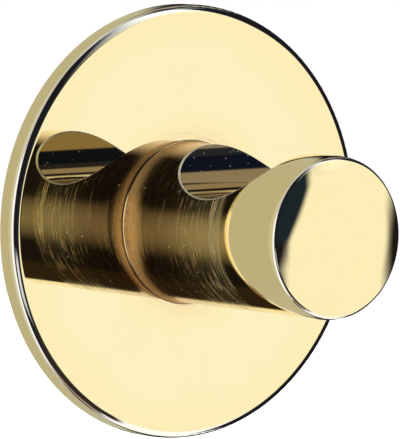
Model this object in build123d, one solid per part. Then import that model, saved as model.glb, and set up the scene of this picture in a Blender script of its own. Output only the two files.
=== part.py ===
from build123d import *
import math
import os

# Adhesive wall hook: a turned peg with a hanging saddle, screwed from behind to a round backplate
# that a foam pad holds to the wall. Millimetres. Y = 0 is the wall, the peg points along -Y, Z is up.

# Foam pad
PAD_THICKNESS = 1.0
PAD_MARGIN = 2.0

# Backplate
PLATE_DIAMETER = 50.0
PLATE_THICKNESS = 2.4
PLATE_EDGE_RADIUS = 0.5
PLATE_BLEND_RADIUS = 2.0
PLATE_BLEND_ANGLE = 17.0
PLATE_BACK_BREAK = 0.15

# Peg
PEG_DIAMETER = 18.4
PEG_LENGTH = 28.1
FOOT_FLARE = 0.22
FOOT_HEIGHT = 3.2
FOOT_EDGE_BREAK = 0.08
END_CROWN_ANGLE = 11.3
END_EDGE_RADIUS = 0.45
END_BLEND_RADIUS = 3.0
END_BLEND_ANGLE = 15.0

# Hanging saddle across the top of the peg
SADDLE_ROOT_LAND = 4.6
SADDLE_HEAD_LAND = 5.5
SADDLE_DEPTH = 5.2
SADDLE_RIM_BREAK = 0.15

# Countersunk screw that holds the peg to the plate
SCREW_DIAMETER = 4.0
SCREW_LENGTH = 8.0
SCREW_TIP_CHAMFER = 0.5
HEAD_DIAMETER = 7.5
HEAD_LAND = 0.25
HEAD_SINK = 0.1
SLOT_WIDTH = 1.0
SLOT_DEPTH = 1.0

# Fits round the screw
HEAD_CLEARANCE = 0.1
HOLE_CLEARANCE = 0.15
THREAD_CLEARANCE = 0.05
TIP_CLEARANCE = 1.0
BORE_MOUTH_CHAMFER = 0.5
DRILL_POINT_ANGLE = 118.0

# How far a cutter runs past the piece that it cuts
CUT_OVERRUN = 1.0

# Levels along the hook's axis, from the wall outwards
WALL = 0.0
PLATE_BACK = WALL - PAD_THICKNESS
PLATE_FRONT = PLATE_BACK - PLATE_THICKNESS
PEG_END = PLATE_FRONT - PEG_LENGTH
HEAD_TOP = PLATE_BACK - HEAD_SINK
CONE_START = HEAD_TOP - HEAD_LAND
SCREW_TIP = HEAD_TOP - SCREW_LENGTH
BORE_END = SCREW_TIP - TIP_CLEARANCE

# Radii worked out from the driving sizes
PLATE_RADIUS = PLATE_DIAMETER / 2
PEG_RADIUS = PEG_DIAMETER / 2
FOOT_RADIUS = PEG_RADIUS + FOOT_FLARE
SCREW_RADIUS = SCREW_DIAMETER / 2
HEAD_RADIUS = HEAD_DIAMETER / 2
HOLE_RADIUS = SCREW_RADIUS + HOLE_CLEARANCE
BORE_RADIUS = SCREW_RADIUS + THREAD_CLEARANCE

# The saddle is an arc through the two lands and its lowest line
SADDLE_CHORD = PEG_LENGTH - SADDLE_ROOT_LAND - SADDLE_HEAD_LAND
SADDLE_RADIUS = (SADDLE_CHORD**2 / 4 + SADDLE_DEPTH**2) / (2 * SADDLE_DEPTH)
SADDLE_Y = PLATE_FRONT - SADDLE_ROOT_LAND - SADDLE_CHORD / 2
SADDLE_FLOOR = PEG_RADIUS - SADDLE_DEPTH


def turned(*points):
    """Solid turned about the hook's axis from a section given as (radius, level) points."""
    with BuildPart() as solid:
        with BuildSketch(Plane.XY):
            with BuildLine():
                Polyline(*points, close=True)
            make_face()
        revolve(axis=Axis.Y)
    return solid.part


def cone_level(radius):
    """Level of the 90 degree head cone where it has the given radius."""
    return CONE_START - (HEAD_RADIUS - radius)


def screw_hole():
    """Cutter for the plate's countersunk hole, with the head's own cone as its seat."""
    mouth_radius = HEAD_RADIUS + HEAD_CLEARANCE
    hole_end = min(PLATE_FRONT, cone_level(HOLE_RADIUS)) - CUT_OVERRUN
    return turned(
        (0, PLATE_BACK + CUT_OVERRUN),
        (mouth_radius, PLATE_BACK + CUT_OVERRUN),
        (mouth_radius, cone_level(mouth_radius)),
        (HOLE_RADIUS, cone_level(HOLE_RADIUS)),
        (HOLE_RADIUS, hole_end),
        (0, hole_end),
    )


def tapped_bore():
    """Cutter for the blind hole in the peg's foot: chamfered mouth, thread bore and drill point."""
    mouth_radius = BORE_RADIUS + BORE_MOUTH_CHAMFER
    point_depth = BORE_RADIUS / math.tan(math.radians(DRILL_POINT_ANGLE / 2))
    return turned(
        (0, PLATE_FRONT + CUT_OVERRUN),
        (mouth_radius, PLATE_FRONT + CUT_OVERRUN),
        (mouth_radius, PLATE_FRONT),
        (BORE_RADIUS, PLATE_FRONT - BORE_MOUTH_CHAMFER),
        (BORE_RADIUS, BORE_END),
        (0, BORE_END - point_depth),
    )


def adhesive_pad():
    """Foam disc, a little smaller than the plate so that it stays out of sight."""
    pad_radius = PLATE_RADIUS - PAD_MARGIN
    return turned((0, WALL), (pad_radius, WALL), (pad_radius, PLATE_BACK), (0, PLATE_BACK))


def backplate():
    """Turned disc with its front edge buffed softly into face and side, and a countersunk hole from the back."""
    back_corner = (PLATE_RADIUS, PLATE_BACK - PLATE_BACK_BREAK)
    bend = math.radians(PLATE_BLEND_ANGLE)
    blend_width = PLATE_BLEND_RADIUS * (math.sin(bend) + 1 - math.cos(bend))
    edge_width = blend_width + PLATE_EDGE_RADIUS * (math.cos(bend) - math.sin(bend))
    with BuildPart() as plate:
        with BuildSketch(Plane.XY):
            with BuildLine():
                face = Line((0, PLATE_FRONT), (PLATE_RADIUS - edge_width, PLATE_FRONT))
                face_blend = JernArc(face @ 1, (1, 0), PLATE_BLEND_RADIUS, PLATE_BLEND_ANGLE)
                edge = JernArc(face_blend @ 1, face_blend % 1, PLATE_EDGE_RADIUS, 90 - 2 * PLATE_BLEND_ANGLE)
                side_blend = JernArc(edge @ 1, edge % 1, PLATE_BLEND_RADIUS, PLATE_BLEND_ANGLE)
                side = Line(side_blend @ 1, back_corner)
                back_break = Line(side @ 1, (PLATE_RADIUS - PLATE_BACK_BREAK, PLATE_BACK))
                back = Line(back_break @ 1, (0, PLATE_BACK))
                Line(back @ 1, face @ 0)
            make_face()
        revolve(axis=Axis.Y)
        add(screw_hole(), mode=Mode.SUBTRACT)
    return plate.part


def peg_section():
    """Half section of the peg before the saddle is cut: crowned end, straight side and flared foot."""
    foot_corner = (FOOT_RADIUS, PLATE_FRONT - FOOT_EDGE_BREAK)
    rise = math.sin(math.radians(END_CROWN_ANGLE))
    ease = math.cos(math.radians(END_BLEND_ANGLE))
    edge_width = END_EDGE_RADIUS * (ease - rise) + END_BLEND_RADIUS * (1 - ease)
    crown_radius = (PEG_RADIUS - edge_width) / rise
    with BuildSketch(Plane.XY) as section:
        with BuildLine():
            crown = JernArc((0, PEG_END), (1, 0), crown_radius, END_CROWN_ANGLE)
            edge = JernArc(crown @ 1, crown % 1, END_EDGE_RADIUS, 90 - END_CROWN_ANGLE - END_BLEND_ANGLE)
            side_blend = JernArc(edge @ 1, edge % 1, END_BLEND_RADIUS, END_BLEND_ANGLE)
            side = Line(side_blend @ 1, (PEG_RADIUS, PLATE_FRONT - FOOT_HEIGHT))
            flare = TangentArc(side @ 1, foot_corner, tangent=(0, 1))
            foot_break = Line(flare @ 1, (FOOT_RADIUS - FOOT_EDGE_BREAK, PLATE_FRONT))
            base = Line(foot_break @ 1, (0, PLATE_FRONT))
            Line(base @ 1, crown @ 0)
        make_face()
    return section.sketch


def peg():
    """Turned peg with the saddle milled across its top and a tapped hole in its foot."""
    saddle_floor = (0, SADDLE_Y, SADDLE_FLOOR)
    with BuildPart() as solid:
        add(peg_section())
        revolve(axis=Axis.Y)
        with Locations((0, SADDLE_Y, SADDLE_FLOOR + SADDLE_RADIUS)):
            Cylinder(
                SADDLE_RADIUS,
                2 * (FOOT_RADIUS + CUT_OVERRUN),
                rotation=(0, 90, 0),
                mode=Mode.SUBTRACT,
            )
        saddle = solid.faces().sort_by_distance(saddle_floor)[0]
        chamfer(saddle.edges(), SADDLE_RIM_BREAK)
        add(tapped_bore(), mode=Mode.SUBTRACT)
    return solid.part


def fixing_screw():
    """Slotted countersunk screw, seated in the plate and run into the peg."""
    shank = turned(
        (0, HEAD_TOP),
        (HEAD_RADIUS, HEAD_TOP),
        (HEAD_RADIUS, CONE_START),
        (SCREW_RADIUS, cone_level(SCREW_RADIUS)),
        (SCREW_RADIUS, SCREW_TIP + SCREW_TIP_CHAMFER),
        (SCREW_RADIUS - SCREW_TIP_CHAMFER, SCREW_TIP),
        (0, SCREW_TIP),
    )
    slot = Pos(0, HEAD_TOP - SLOT_DEPTH, 0) * Box(
        2 * (HEAD_RADIUS + CUT_OVERRUN),
        SLOT_DEPTH + CUT_OVERRUN,
        SLOT_WIDTH,
        align=(Align.CENTER, Align.MIN, Align.CENTER),
    )
    return shank - slot


os.makedirs("parts", exist_ok=True)
for make in (adhesive_pad, backplate, peg, fixing_screw):
    export_step(make(), f"parts/{make.__name__}.step")
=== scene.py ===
import logging
import math
from abc import ABC, abstractmethod
from dataclasses import dataclass
from enum import Enum

import bmesh
import bpy
from mathutils import Matrix, Vector, noise


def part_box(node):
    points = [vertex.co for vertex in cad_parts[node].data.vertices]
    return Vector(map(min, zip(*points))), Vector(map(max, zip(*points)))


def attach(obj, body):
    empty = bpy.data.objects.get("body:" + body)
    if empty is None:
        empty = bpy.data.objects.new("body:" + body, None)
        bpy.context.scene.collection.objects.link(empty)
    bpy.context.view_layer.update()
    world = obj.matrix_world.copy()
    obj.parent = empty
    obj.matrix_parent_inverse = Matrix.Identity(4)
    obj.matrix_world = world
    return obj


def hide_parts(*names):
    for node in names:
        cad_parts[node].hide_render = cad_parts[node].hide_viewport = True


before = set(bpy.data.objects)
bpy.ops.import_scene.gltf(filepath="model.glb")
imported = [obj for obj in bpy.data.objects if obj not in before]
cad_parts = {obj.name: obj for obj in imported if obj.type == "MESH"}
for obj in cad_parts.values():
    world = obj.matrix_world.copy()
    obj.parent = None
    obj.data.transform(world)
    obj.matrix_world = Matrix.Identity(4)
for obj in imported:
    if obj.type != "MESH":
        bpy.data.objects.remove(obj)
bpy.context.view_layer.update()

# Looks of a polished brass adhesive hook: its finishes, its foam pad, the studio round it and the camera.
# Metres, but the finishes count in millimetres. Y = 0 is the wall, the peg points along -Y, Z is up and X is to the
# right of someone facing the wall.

BODY = "root"
MM = 0.001
LOG = logging.getLogger("adhesive_hook")

Colour = tuple[float, float, float]
Span = tuple[float, float]
Socket = bpy.types.NodeSocket
Sockets = dict[str, Socket]


class Lay(Enum):
    """Which way a surface is ruled by the marks of turning and buffing."""

    ROUND_THE_SIDE = "one ring beside the next along the axis"
    ROUND_THE_FACE = "one ring inside the next on a flat face"


class PadLayer(Enum):
    """The pad's layers, by the number of their material on its mesh."""

    FOAM = 0
    FILM = 1


@dataclass
class NodeGraph:
    """Adds and links the nodes of one shader tree."""

    tree: bpy.types.NodeTree

    def add(self, kind: str, inputs: dict | None = None, **settings: object) -> bpy.types.Node:
        """Adds a node.

        Args:
            kind: Blender's name for the kind of node.
            inputs: Values or sockets for its inputs, by the input's name or number.
            settings: Values for the node's own properties.

        Returns:
            The new node.
        """
        node = self.tree.nodes.new(kind)
        for name, value in settings.items():
            setattr(node, name, value)
        for name, value in (inputs or {}).items():
            self.feed(node.inputs[name], value)
        return node

    def feed(self, socket: Socket, value: object) -> None:
        """Links a socket, or sets it where the value is a number or a colour.

        Args:
            socket: The input to feed.
            value: Another node's output, or a plain value.
        """
        if isinstance(value, Socket):
            self.tree.links.new(value, socket)
        elif isinstance(value, tuple) and socket.type == "RGBA":
            socket.default_value = (*value, 1.0)
        else:
            socket.default_value = value

    def math(self, operation: str, *values: float | Socket) -> Socket:
        """Works out one sum.

        Args:
            operation: Blender's name for the operation.
            values: Its operands in order.

        Returns:
            The result.
        """
        node = self.add("ShaderNodeMath", operation=operation)
        for socket, value in zip(node.inputs, values):
            self.feed(socket, value)
        return node.outputs[0]

    def product(self, first: Socket, *others: float | Socket) -> Socket:
        """Multiplies values, one after another.

        Args:
            first: The first factor.
            others: The other factors in order.

        Returns:
            Their product.
        """
        result = first
        for factor in others:
            result = self.math("MULTIPLY", result, factor)
        return result

    def inverse(self, mask: Socket) -> Socket:
        """Turns a mask over, so that 1 becomes 0."""
        return self.math("SUBTRACT", 1.0, mask)

    def distance(self, first: Socket, second: Socket) -> Socket:
        """Measures how far two lengths at a right angle reach together."""
        return self.math("SQRT", self.math("ADD", self.product(first, first), self.product(second, second)))

    def ramp(self, value: Socket, low: float, high: float, start: float = 0.0, end: float = 1.0) -> Socket:
        """Eases from one level to another while a value passes from low to high.

        Args:
            value: The value that is watched.
            low: Where the change starts.
            high: Where the change is complete.
            start: The level before low.
            end: The level after high.

        Returns:
            The eased level.
        """
        node = self.add(
            "ShaderNodeMapRange",
            {"Value": value, "From Min": low, "From Max": high, "To Min": start, "To Max": end},
            interpolation_type="SMOOTHSTEP",
        )
        return node.outputs[0]

    def mix(self, factor: float | Socket, first: Colour | Socket, second: Colour | Socket) -> Socket:
        """Blends two colours.

        Args:
            factor: Share of the second colour.
            first: Colour at a share of 0.
            second: Colour at a share of 1.

        Returns:
            The blended colour.
        """
        node = self.add("ShaderNodeMix", {0: factor, 6: first, 7: second}, data_type="RGBA")
        return node.outputs[2]

    def noise(self, vector: Socket, scale: float | Socket, detail: float, roughness: float) -> Socket:
        """Lays smooth noise over a surface.

        Args:
            vector: Coordinates.
            scale: Grains to a unit of the coordinates.
            detail: Octaves of finer grain.
            roughness: Weight of the finer grain.

        Returns:
            Values about 0.5.
        """
        inputs = {"Vector": vector, "Scale": scale, "Detail": detail, "Roughness": roughness}
        return self.add("ShaderNodeTexNoise", inputs).outputs[0]

    def spot(self) -> Socket:
        """Gives a point's place on its piece, in metres."""
        return self.add("ShaderNodeTexCoord").outputs["Object"]

    def vector(self, x: Socket, y: Socket, z: Socket) -> Socket:
        """Joins three values into a vector."""
        return self.add("ShaderNodeCombineXYZ", {"X": x, "Y": y, "Z": z}).outputs[0]

    def bump(self, height: Socket, distance: float) -> Socket:
        """Gives the normal of a surface that rises by a distance, in metres, for a height of 1."""
        return self.add("ShaderNodeBump", {"Height": height, "Distance": distance, "Strength": 1.0}).outputs[0]

    def turn_normal(self, factor: Socket, normal: Socket, direction: Socket) -> Socket:
        """Swaps a normal for a direction of any length.

        Args:
            factor: Where the direction holds.
            normal: The normal elsewhere.
            direction: The direction.

        Returns:
            The new normal.
        """
        unit = self.add("ShaderNodeVectorMath", {0: direction}, operation="NORMALIZE").outputs[0]
        return self.add("ShaderNodeMix", {0: factor, 4: normal, 5: unit}, data_type="VECTOR").outputs[1]


class Effects:
    """Shader groups that several finishes share."""

    AXIS_GUARD = 2.0 * MM
    RING_GRAIN = {"scale": 1.0, "detail": 3.0, "roughness": 0.6}
    SCRATCH_HEIGHT = (0.58, 0.72)
    CLOUD_GRAIN = {"detail": 3.0, "roughness": 0.55}
    CLOUD_BORDER = (0.35, 0.68)

    @staticmethod
    def start(name: str, inputs: tuple[str, ...], outputs: tuple[str, ...]) -> tuple[NodeGraph, Sockets, Sockets]:
        """Opens a group.

        Args:
            name: The group's name.
            inputs: Names of its number inputs.
            outputs: Names of its number outputs.

        Returns:
            The group's graph, its inputs as sockets to link from, and its outputs as sockets to feed.
        """
        tree = bpy.data.node_groups.new(name, "ShaderNodeTree")
        for title in inputs:
            tree.interface.new_socket(title, in_out="INPUT", socket_type="NodeSocketFloat")
        for title in outputs:
            tree.interface.new_socket(title, in_out="OUTPUT", socket_type="NodeSocketFloat")
        graph = NodeGraph(tree)
        enter = graph.add("NodeGroupInput")
        leave = graph.add("NodeGroupOutput")
        return graph, dict(enter.outputs.items()), dict(leave.inputs.items())

    @staticmethod
    def place(graph: NodeGraph, name: str, **inputs: float | Socket) -> Sockets:
        """Puts a group into a material.

        Args:
            graph: The material's graph.
            name: The group's name.
            inputs: Values or sockets for its inputs.

        Returns:
            The group's outputs by name.
        """
        node = graph.add("ShaderNodeGroup", node_tree=bpy.data.node_groups[name])
        for title, value in inputs.items():
            graph.feed(node.inputs[title], value)
        return dict(node.outputs.items())

    @classmethod
    def clouds(cls, graph: NodeGraph, size: float) -> Socket:
        """Puts clouding of a size in millimetres into a material."""
        return cls.place(graph, "clouding", Size=size)["Mask"]

    @classmethod
    def build(cls) -> None:
        """Makes every shared group."""
        cls.turned_place()
        cls.turning_marks()
        cls.specks()
        cls.clouding()

    @classmethod
    def turned_place(cls) -> None:
        """Where a point is on a turned piece: millimetres along the axis and out from it, and its bearing."""
        graph, _, ends = cls.start("turned_place", (), ("Along", "Out", "BearingX", "BearingZ"))
        axes = graph.add("ShaderNodeSeparateXYZ", {"Vector": graph.spot()}).outputs
        out = graph.distance(axes[0], axes[2])
        reach = graph.math("MAXIMUM", out, cls.AXIS_GUARD)
        graph.feed(ends["Along"], graph.math("DIVIDE", axes[1], MM))
        graph.feed(ends["Out"], graph.math("DIVIDE", out, MM))
        graph.feed(ends["BearingX"], graph.math("DIVIDE", axes[0], reach))
        graph.feed(ends["BearingZ"], graph.math("DIVIDE", axes[2], reach))

    @classmethod
    def turning_marks(cls) -> None:
        """Fine rings left by a lathe or a buffing wheel, broken into arcs of different strength."""
        names = ("Across", "BearingX", "BearingZ", "Fineness", "Reach", "Wear")
        graph, ins, ends = cls.start("turning_marks", names, ("Height", "Scratches"))
        place = graph.vector(
            graph.product(ins["BearingX"], ins["Reach"]),
            graph.product(ins["Across"], ins["Fineness"]),
            graph.product(ins["BearingZ"], ins["Reach"]),
        )
        fine = graph.noise(place, **cls.RING_GRAIN)
        graph.feed(ends["Height"], fine)
        graph.feed(ends["Scratches"], graph.ramp(graph.math("ADD", fine, ins["Wear"]), *cls.SCRATCH_HEIGHT))

    @classmethod
    def specks(cls) -> None:
        """Scattered specks of dust, tiny pits or bubbles."""
        graph, ins, ends = cls.start("specks", ("Spacing", "Share", "Width"), ("Mask",))
        scale = graph.math("DIVIDE", 1.0 / MM, ins["Spacing"])
        cells = graph.add("ShaderNodeTexVoronoi", {"Vector": graph.spot(), "Scale": scale})
        chosen = graph.add("ShaderNodeSeparateColor", {"Color": cells.outputs["Color"]}).outputs[0]
        inside = graph.math("LESS_THAN", cells.outputs["Distance"], graph.product(ins["Width"], chosen))
        kept = graph.math("GREATER_THAN", chosen, graph.inverse(ins["Share"]))
        graph.feed(ends["Mask"], graph.product(inside, kept))

    @classmethod
    def clouding(cls) -> None:
        """Slow, uneven change over a surface, as of handling, tarnish or thickness."""
        graph, ins, ends = cls.start("clouding", ("Size",), ("Mask",))
        scale = graph.math("DIVIDE", 1.0 / MM, ins["Size"])
        drift = graph.noise(graph.spot(), scale, **cls.CLOUD_GRAIN)
        graph.feed(ends["Mask"], graph.ramp(drift, *cls.CLOUD_BORDER))


@dataclass(frozen=True)
class Scatter:
    """How specks lie: millimetres between them, the share of places that hold one, and its width as a share."""

    spacing: float
    share: float
    width: float

    def mask(self, graph: NodeGraph) -> Socket:
        """Puts the specks into a material."""
        return Effects.place(graph, "specks", Spacing=self.spacing, Share=self.share, Width=self.width)["Mask"]


def new_material(name: str) -> tuple[bpy.types.Material, NodeGraph, bpy.types.Node]:
    """Starts a material.

    Args:
        name: The material's name.

    Returns:
        The material, its graph and its shader.
    """
    material = bpy.data.materials.new(name)
    material.use_nodes = True
    graph = NodeGraph(material.node_tree)
    return material, graph, material.node_tree.nodes["Principled BSDF"]


class Finish(ABC):
    """What a piece's surface looks like."""

    @abstractmethod
    def material(self) -> bpy.types.Material:
        """Makes the material."""

    def coat(self, node: str) -> None:
        """Gives the finish to a CAD node."""
        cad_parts[node].material_slots[0].material = self.material()


@dataclass(frozen=True, kw_only=True)
class TurnedBrass(Finish):
    """Brass, turned, buffed and lacquered. Lengths are in millimetres."""

    name: str
    foot_level: float
    foot_radius: float
    lay: Lay
    mark_depth: float
    mark_fineness: float
    mark_reach: float = 2.4
    scratch_haze: float
    foot_start: float = 0.1
    foot_reach: float
    foot_wear: float
    edge: Span
    edge_fade: float = 0.08
    tint: Colour = (0.93, 0.77, 0.41)
    # Pale tint for painted highlight lines on rounded edges and painted glints on nicks.
    painted_highlight: Colour = (0.96, 0.92, 0.80)
    tarnish: Colour = (0.84, 0.60, 0.36)
    polish: float = 0.012
    haze: float = 0.014

    def material(self) -> bpy.types.Material:
        """Makes the brass.

        Returns:
            The material.
        """
        material, graph, shader = new_material(self.name)
        place = Effects.place(graph, "turned_place")
        colour, rough, height = self.surface(graph, place)
        graph.feed(shader.inputs["Base Color"], colour)
        graph.feed(shader.inputs["Roughness"], rough)
        graph.feed(shader.inputs["Normal"], self.normal(graph, place, graph.bump(height, MM)))
        shader.inputs["Metallic"].default_value = 1.0
        return material

    @abstractmethod
    def surface(self, graph: NodeGraph, place: Sockets) -> tuple[Socket, Socket, Socket]:
        """Works out the finish over the piece.

        Args:
            graph: The material's graph.
            place: The outputs of turned_place.

        Returns:
            Colour, roughness and height.
        """

    @abstractmethod
    def normal(self, graph: NodeGraph, place: Sockets, bumped: Socket) -> Socket:
        """Works out the normal where the mesh alone doesn't give the buffed form.

        Args:
            graph: The material's graph.
            place: The outputs of turned_place.
            bumped: The normal that the marks give.

        Returns:
            The normal over the piece.
        """

    def roughness(self, graph: NodeGraph, cloud: Socket, *hazes: tuple[Socket, float]) -> Socket:
        """Adds up what dulls the polish.

        Args:
            graph: The material's graph.
            cloud: The slow change of the polish itself.
            hazes: Masks, each with the roughness that it adds.

        Returns:
            The roughness.
        """
        rough = graph.ramp(cloud, 0.0, 1.0, self.polish, self.polish + self.haze)
        for mask, haze in hazes:
            rough = graph.math("MULTIPLY_ADD", mask, haze, rough)
        return rough

    def edge_highlight_mask(self, graph: NodeGraph, across: Socket) -> Socket:
        """Finds the rounded edge, where a highlight is painted in a pale tint.

        Args:
            graph: The material's graph.
            across: Millimetres across the edge.

        Returns:
            1 on the edge and 0 elsewhere.
        """
        first, last = self.edge
        rising = graph.ramp(across, first, first + self.edge_fade)
        return graph.product(rising, graph.ramp(across, last - self.edge_fade, last, 1.0, 0.0))

    def marks(self, graph: NodeGraph, place: Sockets, wear: float | Socket) -> Sockets:
        """Rules the piece with turning marks.

        Args:
            graph: The material's graph.
            place: The outputs of turned_place.
            wear: What is added to make scratches more frequent.

        Returns:
            The outputs of turning_marks.
        """
        across = place["Along"] if self.lay is Lay.ROUND_THE_SIDE else place["Out"]
        bearing = {axis: place[axis] for axis in ("BearingX", "BearingZ")}
        ruling = {"Fineness": self.mark_fineness, "Reach": self.mark_reach, "Wear": wear}
        return Effects.place(graph, "turning_marks", Across=across, **bearing, **ruling)

    def foot_mask(self, graph: NodeGraph, place: Sockets) -> Socket:
        """Finds the strip beside the joint at the peg's foot, where no wheel reaches.

        Args:
            graph: The material's graph.
            place: The outputs of turned_place.

        Returns:
            1 at the joint, falling to 0 a few millimetres away.
        """
        if self.lay is Lay.ROUND_THE_SIDE:
            gap = graph.math("SUBTRACT", self.foot_level, place["Along"])
        else:
            gap = graph.math("ABSOLUTE", graph.math("SUBTRACT", place["Out"], self.foot_radius))
        return graph.ramp(gap, self.foot_start, self.foot_reach, 1.0, 0.0)


@dataclass(frozen=True, kw_only=True)
class PlateBrass(TurnedBrass):
    """The disc's brass: a mirror with a softly rolled edge, scuffed and stained round the peg's foot."""

    name: str = "plate_brass"
    lay: Lay = Lay.ROUND_THE_FACE
    mark_depth: float = 0.0001
    mark_fineness: float = 3.2
    scratch_haze: float = 0.02
    foot_reach: float = 2.2
    foot_wear: float = 0.10
    foot_stain: float = 0.25
    scuff_wear: float = 0.08
    scuff_stain: float = 0.75
    joint: Span = (0.02, 0.10)
    joint_haze: float = 0.4
    joint_dark: Colour = (0.16, 0.11, 0.08)
    cloud_size: float = 6.0
    pale: Colour = (0.935, 0.80, 0.47)
    pale_rise: Span = (10.0, 14.0)
    pale_fall: Span = (18.0, 24.0)
    pale_at_edge: float = 0.3
    pale_off_clouds: float = 0.7
    edge: Span = (24.2, 24.95)
    roll_off: tuple[float, float, float] = (23.7, 24.6, 24.95)
    roll_tilt: float = 0.42
    roll_overlap: float = 0.1
    roll_fade: float = 0.2
    side_falls: tuple[tuple[float, float, float], ...] = ((0.0, 0.45, 0.7), (0.3, 1.0, 0.3))
    side_end: Span = (0.9, 1.0)

    def surface(self, graph: NodeGraph, place: Sockets) -> tuple[Socket, Socket, Socket]:
        """Works out the finish over the disc.

        Args:
            graph: The material's graph.
            place: The outputs of turned_place.

        Returns:
            Colour, roughness and height.
        """
        out = place["Out"]
        marks = self.marks(graph, place, 0.0)
        cloud = Effects.clouds(graph, self.cloud_size)
        foot = self.foot_mask(graph, place)
        scuffs = graph.product(foot, self.marks(graph, place, self.scuff_wear)["Scratches"])
        stain = graph.math("MULTIPLY_ADD", foot, self.foot_stain, graph.product(scuffs, self.scuff_stain))
        worn = graph.product(
            graph.ramp(out, *self.pale_rise),
            graph.ramp(out, *self.pale_fall, 1.0, self.pale_at_edge),
            graph.ramp(cloud, 0.0, 1.0, self.pale_off_clouds, 1.0),
        )
        joint = graph.ramp(out, *(self.foot_radius + gap for gap in self.joint), 1.0, 0.0)
        colour = graph.mix(worn, self.tint, self.pale)
        colour = graph.mix(stain, colour, self.tarnish)
        # Painted highlight: the plate's rounded rim is tinted pale.
        colour = graph.mix(self.edge_highlight_mask(graph, out), colour, self.painted_highlight)
        # A thin ring on the plate right beside the peg's foot is darkened and duller.
        colour = graph.mix(joint, colour, self.joint_dark)
        rough = self.roughness(
            graph, cloud,
            (joint, self.joint_haze),
            (marks["Scratches"], self.scratch_haze),
            (scuffs, self.foot_wear),
        )
        return colour, rough, graph.product(marks["Height"], self.mark_depth)

    def normal(self, graph: NodeGraph, place: Sockets, bumped: Socket) -> Socket:
        """Rolls the face off softly before its edge, as a buffing wheel does.

        Args:
            graph: The material's graph.
            place: The outputs of turned_place.
            bumped: The normal that the marks give.

        Returns:
            The rolled edge's own normal on the front edge, and the given one elsewhere.
        """
        start, bend, end = self.roll_off
        out = place["Out"]
        depth = graph.math("SUBTRACT", place["Along"], self.foot_level)
        outwards = graph.math("ADD", graph.ramp(out, start, bend, 0.0, self.roll_tilt),
                              graph.ramp(out, bend - self.roll_overlap, end, 0.0, 1.0 - self.roll_tilt))
        forwards = graph.math("ADD", *(graph.ramp(depth, first, last, share, 0.0)
                                       for first, last, share in self.side_falls))
        rolled = graph.vector(
            graph.product(place["BearingX"], outwards),
            graph.product(forwards, -1.0),
            graph.product(place["BearingZ"], outwards),
        )
        strip = graph.product(graph.ramp(depth, *self.side_end, 1.0, 0.0),
                              graph.ramp(out, start - self.roll_fade, start))
        return graph.turn_normal(strip, bumped, rolled)


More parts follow.
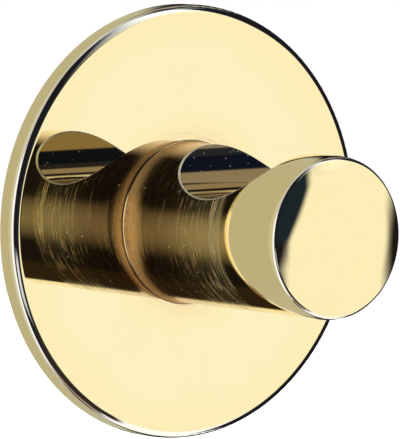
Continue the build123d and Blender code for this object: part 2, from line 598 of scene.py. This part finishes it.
@dataclass(frozen=True, kw_only=True)
class PegBrass(TurnedBrass):
    """The peg's brass: browned, scratched side, clear polished end and a dull, dusty saddle."""

    name: str = "peg_brass"
    lay: Lay = Lay.ROUND_THE_SIDE
    mark_depth: float = 0.0008
    mark_fineness: float = 4.0
    scratch_haze: float = 0.18
    ticks: Scatter = Scatter(spacing=1.0, share=0.12, width=0.11)
    tick_haze: float = 0.3
    foot_reach: float = 3.4
    foot_wear: float = 0.15
    foot_haze: float = 0.46
    foot_grain: float = 0.004
    arris: Span = (0.16, 0.36)
    painted_foot_glow: Colour = (0.99, 0.65, 0.30)
    grime: Colour = (0.50, 0.34, 0.20)
    grime_share: float = 0.45
    grime_size: float = 0.35
    browned: Colour = (0.57, 0.385, 0.20)
    brown_fall: Span = (5.0, 15.0)
    cloud_size: float = 4.0
    cloud_tarnish: float = 0.3
    rub_rise: Span = (5.0, 17.0)
    rub_fall: Span = (17.2, 18.0)
    rub_at_foot: float = 0.45
    rub_haze: float = 0.18
    streak_heights: Span = (0.38, 0.66)
    streak_shares: Span = (0.65, 1.25)
    blotch_size: float = 2.2
    blotch_wear: Span = (0.02, 0.12)
    head: Span = (17.6, 18.4)
    head_marks: float = 0.06
    end_level: float
    crown_radius: float = 44.66
    crown_middle: Span = (0.2, 0.4)
    saddle_along: float = -17.0
    saddle_level: float = 14.388
    saddle_radius: float = 10.388
    saddle_skin: float = 0.012
    saddle_haze: float = 0.02
    saddle_tint: Colour = (0.63, 0.49, 0.26)
    lip_width: float = 0.15
    lip_haze: float = 0.3
    dust: Colour = (0.55, 0.52, 0.47)
    dust_specks: Scatter = Scatter(spacing=0.55, share=0.16, width=0.22)
    dust_haze: float = 0.6

    def surface(self, graph: NodeGraph, place: Sockets) -> tuple[Socket, Socket, Socket]:
        """Works out the finish over the peg.

        Args:
            graph: The material's graph.
            place: The outputs of turned_place.

        Returns:
            Colour, roughness and height.
        """
        reach = graph.math("SUBTRACT", self.foot_level, place["Along"])
        depth = self.saddle_depth(graph, place)
        saddle = graph.math("LESS_THAN", depth, self.saddle_skin)
        lip = graph.product(graph.math("GREATER_THAN", depth, self.saddle_skin),
                            graph.math("LESS_THAN", depth, self.lip_width))
        turned = graph.product(graph.ramp(reach, *self.head, 1.0, self.head_marks), graph.inverse(saddle))
        rubbed = graph.product(graph.ramp(reach, *self.rub_rise, self.rub_at_foot, 1.0),
                               graph.ramp(reach, *self.rub_fall, 1.0, 0.0))
        cloud = Effects.clouds(graph, self.cloud_size)
        arris = graph.ramp(reach, *self.arris, 1.0, 0.0)
        foot = graph.product(self.foot_mask(graph, place), graph.inverse(arris))
        grimy = graph.product(foot, Effects.clouds(graph, self.grime_size))
        # Ticks are small nicks on the turned side: really duller, and also tinted pale as painted glints.
        ticks = graph.product(turned, self.ticks.mask(graph))
        dusty = graph.product(saddle, self.dust_specks.mask(graph))
        blotch = graph.ramp(Effects.clouds(graph, self.blotch_size), 0.0, 1.0, *self.blotch_wear)
        marks = self.marks(graph, place, graph.product(rubbed, blotch))
        scratches = graph.product(turned, marks["Scratches"])
        streaks = graph.ramp(marks["Height"], *self.streak_heights, *self.streak_shares)

        colour = graph.mix(graph.ramp(reach, *self.brown_fall, 1.0, 0.0), self.tint, self.browned)
        # The unpolished strip at the foot is tinted orange as a painted glow of light from the disc; its dullness
        # below is real.
        colour = graph.mix(foot, colour, self.painted_foot_glow)
        colour = graph.mix(graph.product(grimy, self.grime_share), colour, self.grime)
        colour = graph.mix(graph.product(turned, cloud, self.cloud_tarnish), colour, self.tarnish)
        colour = graph.mix(dusty, graph.mix(saddle, colour, self.saddle_tint), self.dust)
        # Painted highlight lines: the saddle's lip, the arris at the foot and the rim of the crowned end are tinted
        # pale; the lip is also really duller.
        highlight_rims = graph.math("MAXIMUM", graph.math("MAXIMUM", lip, arris), self.edge_highlight_mask(graph, place["Along"]))
        colour = graph.mix(graph.math("MAXIMUM", highlight_rims, ticks), colour, self.painted_highlight)

        rough = self.roughness(
            graph, cloud,
            (scratches, self.scratch_haze),
            (graph.product(turned, rubbed, streaks), self.rub_haze),
            (ticks, self.tick_haze),
            (foot, self.foot_haze),
            (grimy, self.foot_wear),
            (saddle, self.saddle_haze),
            (lip, self.lip_haze),
            (dusty, self.dust_haze),
        )
        height = graph.product(turned, marks["Height"], self.mark_depth)
        return colour, rough, graph.math("MULTIPLY_ADD", grimy, self.foot_grain, height)

    def normal(self, graph: NodeGraph, place: Sockets, bumped: Socket) -> Socket:
        """Rounds the middle of the crowned end truly, where the mesh runs to a point.

        Args:
            graph: The material's graph.
            place: The outputs of turned_place.
            bumped: The normal that the marks give.

        Returns:
            The crown's own normal on its middle, and the given one elsewhere.
        """
        centre = (0.0, (self.end_level + self.crown_radius) * MM, 0.0)
        away = graph.add("ShaderNodeVectorMath", {0: graph.spot(), 1: centre}, operation="SUBTRACT").outputs[0]
        middle = graph.ramp(place["Along"], *(self.end_level + rise for rise in self.crown_middle), 1.0, 0.0)
        return graph.turn_normal(middle, bumped, away)

    def saddle_depth(self, graph: NodeGraph, place: Sockets) -> Socket:
        """Finds how deep under the saddle's surface a point of the peg is.

        Args:
            graph: The material's graph.
            place: The outputs of turned_place.

        Returns:
            Millimetres, 0 on the saddle itself.
        """
        along = graph.math("SUBTRACT", place["Along"], self.saddle_along)
        level = graph.math("SUBTRACT", graph.product(place["BearingZ"], place["Out"]), self.saddle_level)
        return graph.math("SUBTRACT", graph.distance(along, level), self.saddle_radius)


@dataclass(frozen=True)
class ZincSteel(Finish):
    """Bright zinc plating on the hidden screw."""

    name: str = "bright_zinc"
    tint: Colour = (0.66, 0.66, 0.63)
    passivated: Colour = (0.60, 0.62, 0.60)
    cloud_size: float = 1.5
    gloss: float = 0.22
    uneven: float = 0.14

    def material(self) -> bpy.types.Material:
        """Makes the plating.

        Returns:
            The material.
        """
        material, graph, shader = new_material(self.name)
        cloud = Effects.clouds(graph, self.cloud_size)
        graph.feed(shader.inputs["Base Color"], graph.mix(cloud, self.tint, self.passivated))
        graph.feed(shader.inputs["Roughness"], graph.ramp(cloud, 0.0, 1.0, self.gloss, self.gloss + self.uneven))
        shader.inputs["Metallic"].default_value = 1.0
        return material


@dataclass(frozen=True)
class FoamCore(Finish):
    """White closed-cell foam, cut through at the edge. Lengths are in millimetres."""

    name: str = "foam_core"
    tint: Colour = (0.80, 0.80, 0.77)
    cell: Colour = (0.62, 0.62, 0.59)
    cells: Scatter = Scatter(spacing=0.16, share=0.8, width=0.5)
    cell_depth: float = 0.05
    cloud_size: float = 4.0
    cloud_share: float = 0.35
    dullness: float = 0.9

    def material(self) -> bpy.types.Material:
        """Makes the foam.

        Returns:
            The material.
        """
        material, graph, shader = new_material(self.name)
        pits = self.cells.mask(graph)
        cloud = Effects.clouds(graph, self.cloud_size)
        pale = graph.mix(graph.product(cloud, self.cloud_share), self.tint, self.cell)
        graph.feed(shader.inputs["Base Color"], graph.mix(pits, pale, self.cell))
        graph.feed(shader.inputs["Normal"], graph.bump(graph.inverse(pits), self.cell_depth * MM))
        shader.inputs["Roughness"].default_value = self.dullness
        return material


@dataclass(frozen=True)
class AdhesiveFilm(Finish):
    """Tacky acrylic film on both faces of the foam. Lengths are in millimetres."""

    name: str = "adhesive_film"
    tint: Colour = (0.83, 0.82, 0.76)
    thin: Colour = (0.76, 0.75, 0.70)
    cloud_size: float = 3.0
    bubbles: Scatter = Scatter(spacing=1.4, share=0.35, width=0.3)
    bubble_share: float = 0.4
    bubble_rise: float = 0.3
    peel_depth: float = 0.04
    gloss: float = 0.24
    uneven: float = 0.16
    coat_weight: float = 0.4

    def material(self) -> bpy.types.Material:
        """Makes the film.

        Returns:
            The material.
        """
        material, graph, shader = new_material(self.name)
        cloud = Effects.clouds(graph, self.cloud_size)
        bubbles = self.bubbles.mask(graph)
        film = graph.mix(cloud, self.tint, self.thin)
        film = graph.mix(graph.product(bubbles, self.bubble_share), film, self.thin)
        peel = graph.math("MULTIPLY_ADD", bubbles, self.bubble_rise, cloud)
        graph.feed(shader.inputs["Base Color"], film)
        graph.feed(shader.inputs["Roughness"], graph.ramp(cloud, 0.0, 1.0, self.gloss, self.gloss + self.uneven))
        graph.feed(shader.inputs["Normal"], graph.bump(peel, self.peel_depth * MM))
        shader.inputs["Coat Weight"].default_value = self.coat_weight
        return material


@dataclass
class Backplate:
    """The round disc on the wall."""

    node: str = "backplate"
    peg_node: str = "peg"

    def dress(self) -> None:
        """Gives the disc its mirror polish, dulled round the peg's foot."""
        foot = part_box(self.peg_node)[1]
        PlateBrass(foot_level=foot.y / MM, foot_radius=foot.x / MM).coat(self.node)


@dataclass
class Peg:
    """The turned peg with the saddle across its top. The edge is given by millimetres from the end."""

    node: str = "peg"
    edge: Span = (0.84, 1.24)

    def dress(self) -> None:
        """Gives the peg its browned side, its polished end and its dull saddle."""
        end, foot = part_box(self.node)
        end_level = end.y / MM
        finish = PegBrass(
            foot_level=foot.y / MM,
            foot_radius=foot.x / MM,
            end_level=end_level,
            edge=(end_level + self.edge[0], end_level + self.edge[1]),
        )
        finish.coat(self.node)


@dataclass
class FixingScrew:
    """The countersunk screw from the plate into the peg."""

    node: str = "fixing_screw"

    def dress(self) -> None:
        """Gives the screw its plating."""
        ZincSteel().coat(self.node)


@dataclass
class AdhesivePad:
    """The foam disc with a tacky film on each face."""

    node: str = "adhesive_pad"
    segments: int = 240
    film: float = 0.09 * MM
    bulge: float = 0.10 * MM
    cut_rough: float = 0.035 * MM
    cut_grain: float = 38.0
    cut_drift: float = 4.0
    side_rows: int = 9
    fill: float = 0.9

    def build(self) -> bpy.types.Object:
        """Makes the pad from its section, with a die-cut edge that bulges a little.

        Returns:
            The pad.
        """
        low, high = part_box(self.node)
        radius = high.x - self.bulge - self.cut_rough
        back, front = high.y, low.y
        mesh = bmesh.new()
        rings = [self.ring(mesh, radius, back, 0.0), self.ring(mesh, radius, back - self.film, 0.0)]
        for row in range(1, self.side_rows):
            share = row / self.side_rows
            level = back - self.film + (front - back + 2 * self.film) * share
            rings.append(self.ring(mesh, radius + self.bulge * math.sin(math.pi * share), level, self.cut_rough))
        rings += [self.ring(mesh, radius, front + self.film, 0.0), self.ring(mesh, radius, front, 0.0)]
        films = [mesh.faces.new(rings[0]), mesh.faces.new(list(reversed(rings[-1])))]
        for number, (upper, lower) in enumerate(zip(rings, rings[1:])):
            for first in range(self.segments):
                second = (first + 1) % self.segments
                face = mesh.faces.new((upper[second], upper[first], lower[first], lower[second]))
                face.smooth = True
                if number in (0, len(rings) - 2):
                    films.append(face)
        for face in films:
            face.material_index = PadLayer.FILM.value
        bmesh.ops.recalc_face_normals(mesh, faces=mesh.faces)
        data = bpy.data.meshes.new("foam_pad")
        mesh.to_mesh(data)
        mesh.free()
        pad = bpy.data.objects.new("foam_pad", data)
        bpy.context.scene.collection.objects.link(pad)
        return pad

    def ring(self, mesh: bmesh.types.BMesh, radius: float, level: float, rough: float) -> list[bmesh.types.BMVert]:
        """Adds one ring of points.

        Args:
            mesh: The mesh to add to.
            radius: The ring's radius.
            level: Its place along the axis.
            rough: How far the cut strays in and out.

        Returns:
            The ring's points in order.
        """
        points = []
        for step in range(self.segments):
            angle = math.tau * step / self.segments
            spot = Vector((math.cos(angle), 0.0, math.sin(angle)))
            stray = rough * noise.noise(spot * self.cut_grain + Vector((0, level / MM * self.cut_drift, 0)))
            points.append(mesh.verts.new(spot * (radius + stray) + Vector((0, level, 0))))
        return points

    def dress(self, pad: bpy.types.Object) -> None:
        """Finishes the pad and ties it to the frame.

        Args:
            pad: The pad.
        """
        finishes = {PadLayer.FOAM: FoamCore(), PadLayer.FILM: AdhesiveFilm()}
        for layer in PadLayer:
            pad.data.materials.append(finishes[layer].material())
        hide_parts(self.node)
        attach(pad, BODY)


@dataclass(frozen=True)
class Card:
    """A sheet of the studio, as the hook sees it: a patch of directions and its light.

    Angles are degrees. Azimuth 0 is straight in front of the wall and grows to the right, elevation grows upwards.
    A sheet that leans moves sideways by its lean for each degree of elevation above its lean level.
    """

    name: str
    azimuths: Span
    elevations: Span
    light: Colour
    soft_sides: Span
    soft_ends: Span
    lean: float = 0.0
    lean_level: float = -5.0

    def mask(self, graph: NodeGraph, azimuth: Socket, elevation: Socket) -> Socket:
        """Finds the directions that meet the sheet.

        Args:
            graph: The world's graph.
            azimuth: Azimuth of the direction that is looked in.
            elevation: Its elevation.

        Returns:
            1 on the sheet and 0 off it, with soft borders.
        """
        middle = sum(self.azimuths) / 2
        leaned = graph.math("MULTIPLY_ADD", elevation, self.lean, middle - self.lean * self.lean_level)
        turn = graph.math("WRAP", graph.math("SUBTRACT", azimuth, leaned), 180.0, -180.0)
        left, right = (side - middle for side in self.azimuths)
        wide = self.between(graph, turn, (left, right), self.soft_sides)
        return graph.product(wide, self.between(graph, elevation, self.elevations, self.soft_ends))

    @staticmethod
    def between(graph: NodeGraph, angle: Socket, borders: Span, softness: Span) -> Socket:
        """Finds where an angle lies between two soft borders.

        Args:
            graph: The world's graph.
            angle: The angle that crosses the borders.
            borders: The middles of the lower and the upper border.
            softness: The widths of both.

        Returns:
            1 between the borders and 0 outside.
        """
        (low, high), (soft_low, soft_high) = borders, softness
        rise = graph.ramp(angle, low - soft_low / 2, low + soft_low / 2, 0.0, 1.0)
        return graph.product(rise, graph.ramp(angle, high - soft_high / 2, high + soft_high / 2, 1.0, 0.0))


@dataclass
class Studio:
    """Soft light, a pale floor far below and the camera."""

    unlit: Colour = (0.012, 0.011, 0.016)
    plain: Colour = (0.9, 0.9, 0.9)
    backdrop: Colour = (1.0, 1.0, 1.0)
    cards: tuple[Card, ...] = (
        Card("ceiling", (-180, 180), (66, 90), (0.60, 0.60, 0.58), (0.1, 0.1), (10, 0.1)),
        Card("room behind", (-215, -48), (-75, 75), (0.54, 0.55, 0.47), (6, 10), (10, 10)),
        Card("pale wall", (-130, -80), (-62, 60), (0.66, 0.65, 0.60), (14, 10), (10, 12)),
        Card("tan wall", (85, 150), (38, 60), (0.40, 0.36, 0.29), (8, 12), (4, 8)),
        Card("saddle glow", (48.5, 57.5), (35.5, 45), (0.42, 0.41, 0.45), (2.5, 3), (3, 3)),
        Card("saddle flag", (66, 98), (36, 56), (0.008, 0.013, 0.048), (4, 5), (6, 4)),
        Card("flag tip", (58, 72), (36, 54), (0.030, 0.036, 0.070), (2.5, 4), (3, 4), -1.1, 44.5),
        Card("left sheet", (-84, -42.3), (-64, 14), (1.12, 1.12, 1.12), (10, 26), (10, 12), -0.15),
        Card("left sheet top", (-84, -46), (2, 26), (1.12, 1.12, 1.12), (10, 12), (8, 12)),
        Card("front sheet", (-14, 2), (-21, -9.5), (0.72, 0.76, 0.82), (5, 6), (5, 4)),
        Card("front floor", (-40, 25), (-90, -49), (0.34, 0.25, 0.20), (14, 8), (0.1, 12)),
        Card("paper sweep", (20.1, 58), (-60, 11), (1.06, 1.10, 1.14), (3.0, 4), (6, 2)),
        Card("table edge", (-4, 29.5), (-46, -25.5), (0.030, 0.022, 0.018), (10, 4), (8, 3)),
        Card("table corner", (2, 21.4), (-27, -12.5), (0.03, 0.035, 0.03), (8, 2.6), (4, 3), -0.5, -14.5),
        Card("right floor", (28, 110), (-90, -44), (1.05, 1.05, 1.05), (4, 8), (0.1, 4)),
        Card("overhead sheet", (26, 46.5), (10.4, 62), (1.15, 1.20, 1.30), (26, 4), (2, 6), -0.12, 15),
        Card("screen", (8, 25.3), (-5.5, 13), (0.012, 0.025, 0.050), (4, 2.6), (4, 2), 0.6, 3.8),
        Card("backdrop", (137, 147), (-10, 0), (1.0, 1.0, 1.0), (3, 3), (3, 3)),
    )
    floor_level: float = -0.6
    floor_radius: float = 6.0
    floor_segments: int = 96
    floor_tint: Colour = (0.8, 0.8, 0.79)
    floor_dullness: float = 0.9
    floor_glow: float = 0.85
    view_azimuth: float = -37.88
    view_elevation: float = 4.91
    view_distance: float = 0.700
    focal_pixels: float = 6090.0
    frame_pixels: tuple[int, int] = (400, 439)
    plate_centre_pixels: Span = (187.7, 222.0)
    sensor_width: float = 36.0
    clip: Span = (0.05, 20.0)

    def build_world(self) -> None:
        """Lights the hook by sheets round it and shows a white backdrop behind it."""
        world = bpy.data.worlds.new("studio")
        world.use_nodes = True
        bpy.context.scene.world = world
        graph = NodeGraph(world.node_tree)
        direction = graph.add("ShaderNodeTexCoord").outputs["Generated"]
        axes = graph.add("ShaderNodeSeparateXYZ", {"Vector": direction}).outputs
        azimuth = graph.math("DEGREES", graph.math("ARCTAN2", axes[0], graph.product(axes[1], -1.0)))
        elevation = graph.math("DEGREES", graph.math("ARCSINE", axes[2]))
        sky = self.unlit
        for card in self.cards:
            sky = graph.mix(card.mask(graph, azimuth, elevation), sky, card.light)
        path = graph.add("ShaderNodeLightPath").outputs
        sky = graph.mix(path["Is Diffuse Ray"], sky, self.plain)
        seen = graph.math("MAXIMUM", path["Is Camera Ray"], path["Is Transmission Ray"])
        background = world.node_tree.nodes["Background"]
        graph.feed(background.inputs["Color"], graph.mix(seen, sky, self.backdrop))

    def build_floor(self) -> None:
        """Lays a round pale floor far under the hook."""
        mesh = bmesh.new()
        bmesh.ops.create_circle(mesh, cap_ends=True, segments=self.floor_segments, radius=self.floor_radius)
        data = bpy.data.meshes.new("floor")
        mesh.to_mesh(data)
        mesh.free()
        floor = bpy.data.objects.new("floor", data)
        floor.location = (0, 0, self.floor_level)
        floor.visible_glossy = False
        bpy.context.scene.collection.objects.link(floor)
        material, graph, shader = new_material("pale_floor")
        seen = graph.add("ShaderNodeLightPath").outputs["Is Camera Ray"]
        graph.feed(shader.inputs["Base Color"], self.floor_tint)
        graph.feed(shader.inputs["Roughness"], self.floor_dullness)
        graph.feed(shader.inputs["Emission Color"], self.backdrop)
        graph.feed(shader.inputs["Emission Strength"], graph.product(seen, self.floor_glow))
        data.materials.append(material)

    def build_camera(self) -> None:
        """Sets the camera where the photograph was taken from."""
        turn, tilt = math.radians(self.view_azimuth), math.radians(self.view_elevation)
        back = Vector((math.sin(turn) * math.cos(tilt), -math.cos(turn) * math.cos(tilt), math.sin(tilt)))
        right = Vector((math.cos(turn), math.sin(turn), 0))
        up = back.cross(right)
        pixel = self.view_distance / self.focal_pixels
        shift_right = (self.frame_pixels[0] / 2 - self.plate_centre_pixels[0]) * pixel
        shift_up = (self.plate_centre_pixels[1] - self.frame_pixels[1] / 2) * pixel
        plate_front = Vector((0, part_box("backplate")[0].y, 0))
        data = bpy.data.cameras.new("camera")
        data.sensor_width = self.sensor_width
        data.lens = data.sensor_width * self.focal_pixels / max(self.frame_pixels)
        data.clip_start, data.clip_end = self.clip
        camera = bpy.data.objects.new("camera", data)
        place = plate_front + back * self.view_distance + right * shift_right + up * shift_up
        camera.matrix_world = Matrix.Translation(place) @ Matrix((right, up, back)).transposed().to_4x4()
        bpy.context.scene.collection.objects.link(camera)
        bpy.context.scene.camera = camera


def main() -> None:
    """Dresses the hook piece by piece and sets up the studio."""
    logging.basicConfig(level=logging.INFO, format="%(name)s: %(message)s")
    bpy.context.scene.view_settings.view_transform = "Standard"
    Effects.build()
    for piece in (Backplate(), Peg(), FixingScrew()):
        piece.dress()
        LOG.info("%s dressed", piece.node)
    pad = AdhesivePad()
    foam = pad.build()
    pad.dress(foam)
    LOG.info("%s built with %d faces", foam.name, len(foam.data.polygons))
    studio = Studio()
    studio.build_world()
    studio.build_floor()
    studio.build_camera()
    LOG.info("studio of %d sheets, floor and camera ready", len(studio.cards))


if __name__ == "__main__":
    main()
